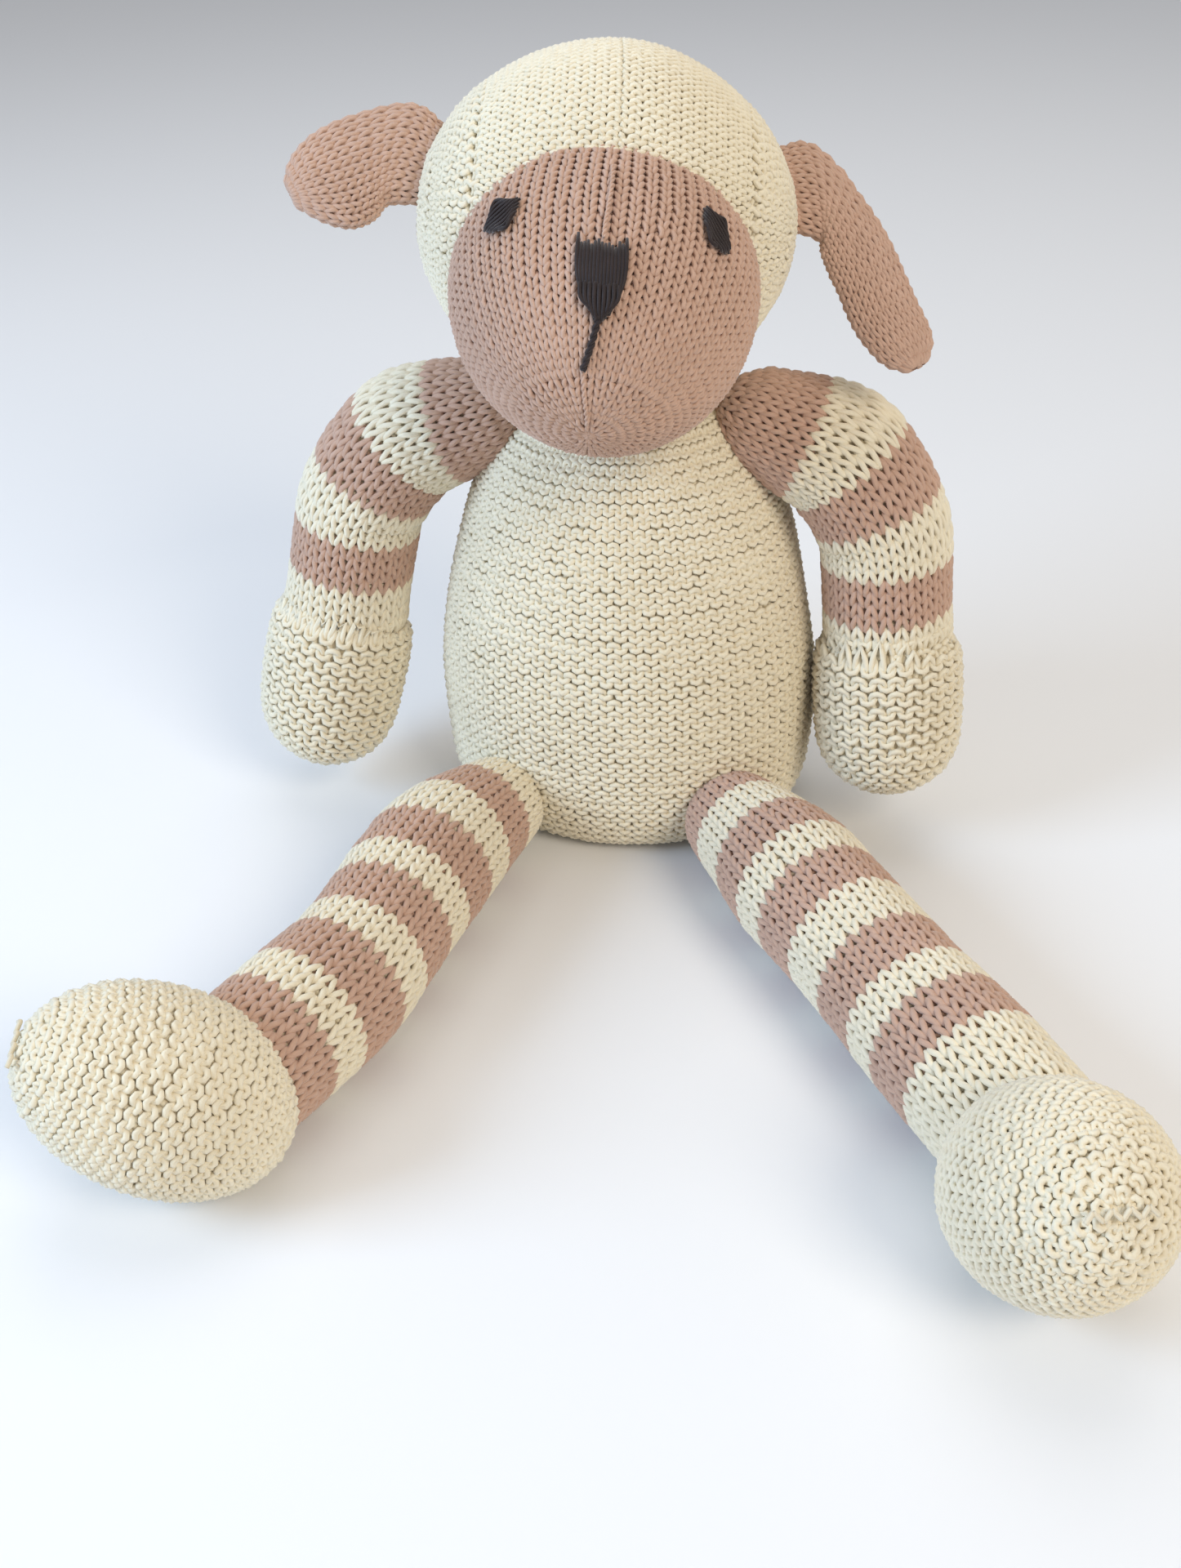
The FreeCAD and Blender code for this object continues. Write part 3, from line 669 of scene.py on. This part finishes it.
def make_limb(side, limb):
    rows, end, way = limb_rows(side, limb)
    tip = {"arm": "hand", "leg": "foot"}[limb]
    joint = {"arm": "wrist", "leg": "ankle"}[limb]
    anchor = {"arm": "shoulder", "leg": "hip"}[limb]
    body, tip_body = f"{side}_{limb}", f"{side}_{tip}"
    if limb == "arm":
        fill = f"{side}_hand_stuffing"
        axis = unit(middle_of(fill) - end)
        far = reach(fill, end, axis) + COVER
        centre, radius = ring_of(fill, end + axis * far * 0.5, axis)
        radius += COVER
        axis = unit(centre - end)
        far = reach(fill, end, axis) + COVER
        for share, size in HAND_SHAPE:
            rows.append([*(end + axis * far * share), radius * size, radius * size])
    else:
        rows.append([*(end + way * BEND_HALF), rows[-1][3] * 0.97, rows[-1][3] * 0.97])
    reference = (0, 1, 0) if limb == "arm" else (0, 0, 1)
    skin = Swept(inset_rows(rows, SKIN_INSET), reference, swell=0.5 * MM)
    count = int(round(skin.length / COURSE))
    colour = stripe_colour(side, limb)
    nearest = np.argmin(np.linalg.norm(skin.centre - end, axis=1))
    split = int(round(skin.run[nearest] * count)) if limb == "arm" else count
    hand_count = int(round(skin.length / HAND_COURSE))

    def wales(place):
        radius = np.interp(place, skin.run, skin.a)
        return 9 if radius < 4.2 * MM else 14 if radius < 8.0 * MM else LIMB_WALES

    yarns = Yarns()
    knit(yarns, skin, count, wales, False, colour=colour, last=split)
    piece = yarns.piece(f"{side}_{limb}_knit", [CREAM, TAN])
    bend(piece, body, tip_body, end, way, BEND_HALF, "striped_knit",
         f"{side}_{limb}_cover", f"{side}_{anchor}_thread", padded=0.8)
    pad = padding(f"{side}_{limb}_padding", skin, CREAM_SHADED_PADDING, PAD_INSET, 40, 90)
    bend(pad, body, tip_body, end, way, BEND_HALF, "polyester_fibre", f"{side}_{limb}_stuffing",
         *((f"{side}_hand_stuffing",) if limb == "arm" else ()), padded=0.8)
    if limb == "arm":
        yarns = Yarns()
        knit(yarns, skin, hand_count, lambda place: min(HAND_WALES, wales(place)), True,
             first=int(split / count * hand_count - 0.2))
        hand = yarns.piece(f"{side}_hand_knit", [CREAM])
        bend(hand, body, tip_body, end, way, BEND_HALF, "cream_knit", f"{side}_hand_cover", padded=0.8)
        seam = Yarns()
        u = np.arange(90) / 90
        p, normal, _, _ = frame_at(skin, u, np.full(len(u), split / count))
        overcast(seam, p, normal, pitch=3.3 * MM, half=1.5 * MM, radius=0.5 * MM)
        piece = seam.piece(f"{side}_wrist_seam", [CREAM_SEAM])
        bend(piece, body, tip_body, end, way, BEND_HALF, "cream_thread")
    else:
        axis = unit(FOOT_AXES[side])
        toe = middle_of(f"{side}_toe_stitch")
        middle = toe - axis * (FOOT_HALF[2] - 0.5 * MM)
        across = unit(np.cross((0, 0, 1), axis))
        axes = np.array([across, np.cross(axis, across), axis])
        foot = Egg(middle, axes, FOOT_HALF - SKIN_INSET, (0, 0, 1), (0, 1, 0), swell=0.6 * MM)
        foot_rows = int(round(foot.length / FOOT_COURSE))

        def foot_wales(place):
            ring = math.sin(math.pi * place)
            return 8 if ring < 0.16 else 12 if ring < 0.30 else 20 if ring < 0.52 else 40

        yarns = Yarns()
        knit(yarns, foot, foot_rows, foot_wales, True)
        piece = yarns.piece(f"{side}_foot_knit", [CREAM])
        done(piece, tip_body, "cream_knit", f"{side}_foot_cover", padded=0.85)
        pad = padding(f"{side}_foot_padding", foot, CREAM_SHADED_PADDING, PAD_INSET, 60, 44)
        done(pad, tip_body, "polyester_fibre", f"{side}_foot_stuffing", padded=0.85)
        seam = Yarns()
        p, normal = meeting(skin, foot.inside, v_from=0.6)
        overcast(seam, p, normal, pitch=3.3 * MM, half=1.6 * MM, radius=0.5 * MM)
        piece = seam.piece(f"{side}_ankle_seam", [CREAM_SEAM])
        bend(piece, body, tip_body, end, way, BEND_HALF, "cream_thread")
        stitch = Yarns()
        flat = np.linspace(-1, 1, 9)
        f = np.linspace(0, 1, 6)[:, None]
        for k in range(len(flat) - 1):
            shift = axes[1] * (TOE_ZIGZAG if k % 2 else -TOE_ZIGZAG)
            q0 = toe + across * flat[k] * TOE_HALF + shift
            q1 = toe + across * flat[k + 1] * TOE_HALF - shift
            line = q0 + (q1 - q0) * f + axis * TOE_LIFT
            stitch.add(line, np.repeat(axis[None], len(f), 0), TOE_YARN)
        piece = stitch.piece(f"{side}_toe_seam", [CREAM_SEAM])
        done(piece, tip_body, "cream_thread", f"{side}_toe_stitch")
    seam = Yarns()
    p, normal = meeting(skin, torso_inside, v_to=0.5)
    overcast(seam, p, normal, pitch=3.4 * MM, half=1.7 * MM, radius=0.5 * MM)
    piece = seam.piece(f"{side}_{anchor}_seam", [CREAM_SEAM])
    done(piece, "torso", "cream_thread")


for side in SIDE_SIGN:
    for limb in ("arm", "leg"):
        make_limb(side, limb)

# ---------------------------------------------------------------- head

CROWN_LANES = 112
CROWN_WALES = 22
CROWN_ZONES = (0.245, 0.115, 0.055, 0.03)
CROWN_YARN = 0.66 * MM
FACE_OVERLAP = 3.5 * MM    # how far the knit of the crown and of the muzzle reach into each other
HEAD_SWELL = 0.5 * MM
for side, sign in SIDE_SIGN.items():
    half = Egg(head_centre, HEAD, CROWN_HALF - SKIN_INSET, (sign, 0, 0), (0, 0, 1), swell=HEAD_SWELL)
    yarns = Yarns()
    knit_lanes(yarns, half, CROWN_LANES, CROWN_WALES, True, CROWN_ZONES, yarn=CROWN_YARN,
               keep=lambda p: ~muzzle_shape.inside(p, FACE_OVERLAP))
    piece = yarns.piece(f"{side}_crown_knit", [CREAM])
    done(piece, "head", "cream_knit", f"{side}_crown_cover", padded=0.9)
crown_pad_skin = Egg(head_centre, HEAD, CROWN_HALF - SKIN_INSET, (1, 0, 0), (0, 0, 1), swell=HEAD_SWELL)
crown_pad = padding("crown_padding", crown_pad_skin, CREAM_SHADED_PADDING, PAD_INSET, 80, 60)
done(crown_pad, "head", "polyester_fibre", "head_stuffing", padded=0.9)

muzzle_skin = Egg(muzzle_centre, MUZZLE, MUZZLE_HALF - SKIN_INSET, gather_way, (0, 0, 1), swell=0.4 * MM)
MUZZLE_ROWS = 54
MUZZLE_LAST = 34    # the rows after this one are inside the crown


def muzzle_wales(place):
    ring = math.sin(math.pi * place)
    return 9 if ring < 0.10 else 17 if ring < 0.20 else 34 if ring < 0.46 else 68


yarns = Yarns()
knit(yarns, muzzle_skin, MUZZLE_ROWS, muzzle_wales, False, yarn=FINE_YARN, last=MUZZLE_LAST,
     rib=0.38 * MM, keep=lambda p: ~crown_shape.inside(p, FACE_OVERLAP))
piece = yarns.piece("muzzle_knit", [TAN])
done(piece, "head", "tan_knit", "muzzle_cover", padded=0.9)
muzzle_pad = padding("muzzle_padding", muzzle_skin, TAN_SHADED_PADDING, PAD_INSET, 70, 50)
done(muzzle_pad, "head", "polyester_fibre", padded=0.9)

# ---------------------------------------------------------------- ears

EAR_SHAPES = {  # out from the root and up its seam, width, thickness, and lean in degrees
    "right": ((-7, 0, 20, 6.5, 0), (0, 0, 25, 7.8, 0), (6.2, -4.8, 25.5, 8.2, 22),
              (11.4, -9.2, 24.5, 8.4, 35), (15.8, -12.6, 19.5, 8.0, 41), (19.2, -15.2, 11, 6.0, 43),
              (20.4, -16.4, 4, 3.4, 43)),
    "left": ((-7, 2, 20, 6.5, 0), (0, 0, 24, 7.8, 0), (3.9, -7.6, 19, 8.2, 30), (7.7, -18, 17, 8.4, 56),
             (10.7, -29.8, 16.5, 8.4, 67), (14.2, -38.2, 14, 7.4, 70), (16, -42.9, 6, 4.2, 70)),
}
EAR_COURSE = 2.45 * MM
EAR_WALES = 20
EAR_INSET = 1.1 * MM
EAR_BEND_HALF = 4 * MM

for side, sign in SIDE_SIGN.items():
    root = ORIGINS[f"{side}_ear_flap"]
    seam_way = AXES[f"{side}_ear_flap"] * np.sign(AXES[f"{side}_ear_flap"][2])
    out_way = unit(sign * head_x - seam_way * np.dot(sign * head_x, seam_way))
    rows, ways = [], []
    for out, up, width, thick, lean in EAR_SHAPES[side]:
        rows.append([*(root + (out_way * out + seam_way * up) * MM), width * MM / 2, thick * MM / 2])
        ways.append(seam_way * math.cos(math.radians(lean)) + out_way * math.sin(math.radians(lean)))
    skin = Swept(inset_rows(rows, EAR_INSET), ways, np.cross(seam_way, out_way), swell=0.3 * MM)
    yarns = Yarns()
    count = int(round(skin.length / EAR_COURSE))
    knit(yarns, skin, count, EAR_WALES, False, yarn=FINE_YARN, rib=0.34 * MM)
    piece = yarns.piece(f"{side}_ear_knit", [TAN])
    bend(piece, "head", f"{side}_ear", root, out_way, EAR_BEND_HALF, "tan_knit", f"{side}_ear", padded=0.25)
    pad = padding(f"{side}_ear_lining", skin, TAN_SHADED_PADDING, 0.4 * MM, 48, 40)
    bend(pad, "head", f"{side}_ear", root, out_way, EAR_BEND_HALF, "tan_knit", padded=0.25)
    seam = Yarns()
    p, normal = meeting(skin, crown_shape.inside, v_to=0.6)
    overcast(seam, p, normal, pitch=2.6 * MM, half=1.4 * MM, radius=0.42 * MM)
    piece = seam.piece(f"{side}_ear_seam", [TAN])
    done(piece, "head", "tan_knit")

# ---------------------------------------------------------------- embroidery and seams of the head

BEFORE_FACE = -95    # a place in front of the face, in head millimetres


def muzzle_point(x, z):
    """The muzzle's outer point at a height and side place in head millimetres, with its normal."""
    start = on_head(x, BEFORE_FACE, z)
    origin = MUZZLE @ (start - muzzle_centre) / MUZZLE_HALF
    ray = MUZZLE @ head_y / MUZZLE_HALF
    a, b, c = ray @ ray, 2 * origin @ ray, origin @ origin - 1
    gone = (-b - math.sqrt(max(b * b - 4 * a * c, 0))) / (2 * a)
    p = start + head_y * gone
    normal = unit(((MUZZLE @ (p - muzzle_centre)) / MUZZLE_HALF ** 2) @ MUZZLE)
    return p, normal


def muzzle_line(places):
    """The muzzle's points and normals at a list of places in head millimetres."""
    found = [muzzle_point(x, z) for x, z in places]
    return np.array([f[0] for f in found]), np.array([f[1] for f in found])


def satin(yarns, lines, lift, radius):
    """Strands laid side by side. Each line is a list of points on the face in head millimetres."""
    for line in lines:
        p, normal = muzzle_line(smooth(line, 9))
        f = np.linspace(-1, 1, len(p))
        height = lift * (1 - 0.8 * f ** 6)
        yarns.add(p + normal * height[:, None], normal, radius * (1 - 0.3 * f ** 8))


NOSE_TOP, NOSE_BOTTOM, NOSE_CORNER, UPPER_TOP = 12.5, 0.0, 0.9, 6.4
NOSE_LAYERS = ((15, 5.0, 0.5), (9, 4.1, 0.95))    # strands, half width and lift in millimetres
nose = Yarns()
for layer, (count, wide, lift) in enumerate(NOSE_LAYERS):
    lines = []
    for k in range(count):
        f = (k + 0.5) / count * 2 - 1
        top = NOSE_TOP + rng.normal(0, 0.35) + (NOSE_CORNER if k in (0, count - 1) else 0)
        if layer:
            top = UPPER_TOP + rng.normal(0, 0.3)
        foot = NOSE_BOTTOM + 2.6 * f * f + rng.normal(0, 0.2)
        middle = (f * wide * 0.96 - 2.1, (top + foot) / 2 - 0.6)
        lines.append([(f * wide - 2.3, top), middle, (f * wide * 0.50 - 1.7, foot)])
    satin(nose, lines, lift * MM, 0.46 * MM)
done(nose.piece("nose_embroidery", [DARK]), "head", "dark_thread", "nose_stitching")

mouth = Yarns()
p, normal = muzzle_line(smooth([(-1.9, 0.8), (-2.6, -3.0), (-3.4, -6.6), (-4.1, -9.6)], 24))
cord_along(mouth, p + normal * 0.45 * MM, normal, 0.72 * MM, pitch=3.2 * MM)
done(mouth.piece("mouth_embroidery", [DARK]), "head", "dark_thread", "mouth_stitching")

# place beside the middle, height, and lean in degrees
EYES = {"right": (22.1, 12.2, 44), "left": (20.3, 13.2, 38)}
EYE_STRANDS, EYE_HALF_LENGTH, EYE_HALF_WIDTH, EYE_BOW = 9, 4.8, 1.55, 0.25
for side, sign in SIDE_SIGN.items():
    eye = Yarns()
    lines = []
    eye_x, eye_z, lean = EYES[side]
    lean = math.radians(lean)
    for f in np.linspace(-1, 1, EYE_STRANDS):
        half = EYE_HALF_LENGTH * (1 - 0.62 * f * f) + rng.normal(0, 0.2)
        points = []
        for g in (-1, 0, 1):
            along = g * half
            aside = f * EYE_HALF_WIDTH * (1 - 0.45 * g * g) + EYE_BOW * f
            x = aside * math.cos(lean) + along * math.sin(lean)
            z = -aside * math.sin(lean) + along * math.cos(lean)
            points.append((sign * (eye_x - x), eye_z + z))
        lines.append(points)
    satin(eye, lines, 0.6 * MM, 0.40 * MM)
    done(eye.piece(f"{side}_eye_embroidery", [DARK]), "head", "dark_thread", f"{side}_eye_stitching")

seam = Yarns()
p, normal = muzzle_line([(-1.6 + 0.5 * math.sin(h * 0.35), h) for h in np.linspace(23.0, 13.4, 30)])
cord_along(seam, p - normal * 0.1 * MM, normal, 0.42 * MM, pitch=2.4 * MM)
done(seam.piece("face_centre_seam", [TAN]), "head", "tan_knit")

seam = Yarns()
angles = np.linspace(-0.62, 3.4, 160)
centre_line = Egg(head_centre, HEAD, CROWN_HALF - 1.5 * MM, (1, 0, 0), (0, 0, 1), swell=HEAD_SWELL)
p, normal, _, _ = frame_at(centre_line, angles / TAU, np.full(len(angles), 0.5))
kept = ~muzzle_shape.inside(p, 1.0 * MM)
p, normal = p[kept], normal[kept]
overcast(seam, p, normal, pitch=2.6 * MM, half=1.3 * MM, radius=0.40 * MM, closed=False)
done(seam.piece("crown_centre_seam", [CREAM]), "head", "cream_thread")

seam = Yarns()
p, normal = meeting(muzzle_skin, lambda q: crown_shape.inside(q, 1.2 * MM), count=140, v_to=0.75)
overcast(seam, p, normal, pitch=2.4 * MM, half=1.2 * MM, radius=0.40 * MM)
done(seam.piece("face_edge_seam", [TAN]), "head", "tan_knit")

GATHER_STITCHES, GATHER_REACH = 9, 3.4 * MM
gather = Yarns()
tip, _, _, _ = frame_at(muzzle_skin, np.zeros(1), np.full(1, 0.004))
normal = unit(tip[0] - muzzle_centre)
aside = unit(np.cross(normal, head_z))
upward = np.cross(aside, normal)
f = np.linspace(0, 1, 7)[:, None]
for k in range(GATHER_STITCHES):
    turn = TAU * k / GATHER_STITCHES + 0.2
    way = math.cos(turn) * aside + math.sin(turn) * upward
    line = tip[0] + way * f * GATHER_REACH + normal * (0.5 - 1.5 * f ** 2) * MM
    gather.add(line, np.repeat(normal[None], len(f), 0), 0.42 * MM)
p, normal = muzzle_line(smooth([(-4.1, -10.2), (-3.6, -14.0), (-2.9, -18.0), (-2.2, -22.0)], 24))
cord_along(gather, p - normal * 0.35 * MM, normal, 0.5 * MM, pitch=3.0 * MM)
done(gather.piece("muzzle_gather", [TAN]), "head", "tan_thread", "muzzle_gather_stitch")

NECK_TURNS, NECK_RADIUS, NECK_HEIGHT = 3, 8 * MM, 1.6 * MM
neck = Yarns()
neck_at = middle_of("neck_gather_thread")
turn = np.linspace(0, NECK_TURNS * TAU, 150)
ring = np.stack([neck_at[0] + NECK_RADIUS * np.cos(turn), neck_at[1] + NECK_RADIUS * np.sin(turn),
                 neck_at[2] + (turn / turn[-1] - 0.5) * NECK_HEIGHT], -1)
cord_along(neck, ring, unit(ring - neck_at), 0.55 * MM)
done(neck.piece("neck_thread", [CREAM_SEAM]), "neck", "cream_thread", "neck_gather_thread")

# ---------------------------------------------------------------- stage, lights and camera

CAMERA_TARGET = np.array((-4.5, -38.0, 26.1)) * MM
CAMERA_AZIMUTH, CAMERA_ELEVATION, CAMERA_ROLL = (math.radians(a) for a in (10.0, 35.0, -1.7))
CAMERA_DISTANCE = 415 * MM
LENS, SENSOR = 49.8, 36
back = np.array((math.sin(CAMERA_AZIMUTH) * math.cos(CAMERA_ELEVATION),
                 -math.cos(CAMERA_AZIMUTH) * math.cos(CAMERA_ELEVATION), math.sin(CAMERA_ELEVATION)))
x_way = unit(np.cross((0, 0, 1), back))
y_way = np.cross(back, x_way)
rolled_x = x_way * math.cos(CAMERA_ROLL) + y_way * math.sin(CAMERA_ROLL)
rolled_y = -x_way * math.sin(CAMERA_ROLL) + y_way * math.cos(CAMERA_ROLL)
camera = link(bpy.data.objects.new("camera", bpy.data.cameras.new("camera")))
camera.data.sensor_fit, camera.data.sensor_width, camera.data.lens = "HORIZONTAL", SENSOR, LENS
camera.data.clip_start = 0.01
placed = np.eye(4)
placed[:3, :3] = np.stack([rolled_x, rolled_y, back], -1)
placed[:3, 3] = CAMERA_TARGET + back * CAMERA_DISTANCE
camera.matrix_world = Matrix(placed.tolist())
bpy.context.scene.camera = camera

floor_mesh = bpy.data.meshes.new("floor")
floor_mesh.from_pydata([(-3, -3, 0), (3, -3, 0), (3, 3, 0), (-3, 3, 0)], [], [(0, 1, 2, 3)])
floor = link(bpy.data.objects.new("floor", floor_mesh))
paper = bpy.data.materials.new("pale_floor")
paper.use_nodes = True
paper.node_tree.nodes["Principled BSDF"].inputs["Base Color"].default_value = (0.86, 0.86, 0.86, 1)
paper.node_tree.nodes["Principled BSDF"].inputs["Roughness"].default_value = 0.9
floor_mesh.materials.append(paper)


def area_light(name, at, toward, size, power, colour):
    light = bpy.data.lights.new(name, "AREA")
    light.size, light.energy, light.color = size, power, colour
    obj = link(bpy.data.objects.new(name, light))
    obj.location = at
    obj.rotation_euler = (Vector(toward) - Vector(at)).to_track_quat("-Z", "Y").to_euler()


area_light("cool_side", (-0.75, -0.45, 0.50), (0, -0.04, 0.08), 0.45, 7.0, (0.55, 0.74, 1.0))
area_light("warm_side", (0.70, -0.75, 0.85), (0, -0.04, 0.08), 0.5, 7.0, (1.0, 0.90, 0.76))
area_light("top_fill", (0.0, 0.3, 1.1), (0, -0.04, 0.06), 0.9, 3.6, (1.0, 0.98, 0.95))
world = bpy.data.worlds.new("studio")
world.use_nodes = True
world.node_tree.nodes["Background"].inputs["Color"].default_value = (0.93, 0.95, 1.0, 1)
world.node_tree.nodes["Background"].inputs["Strength"].default_value = 0.40
bpy.context.scene.world = world
bpy.context.scene.view_settings.view_transform = "Standard"
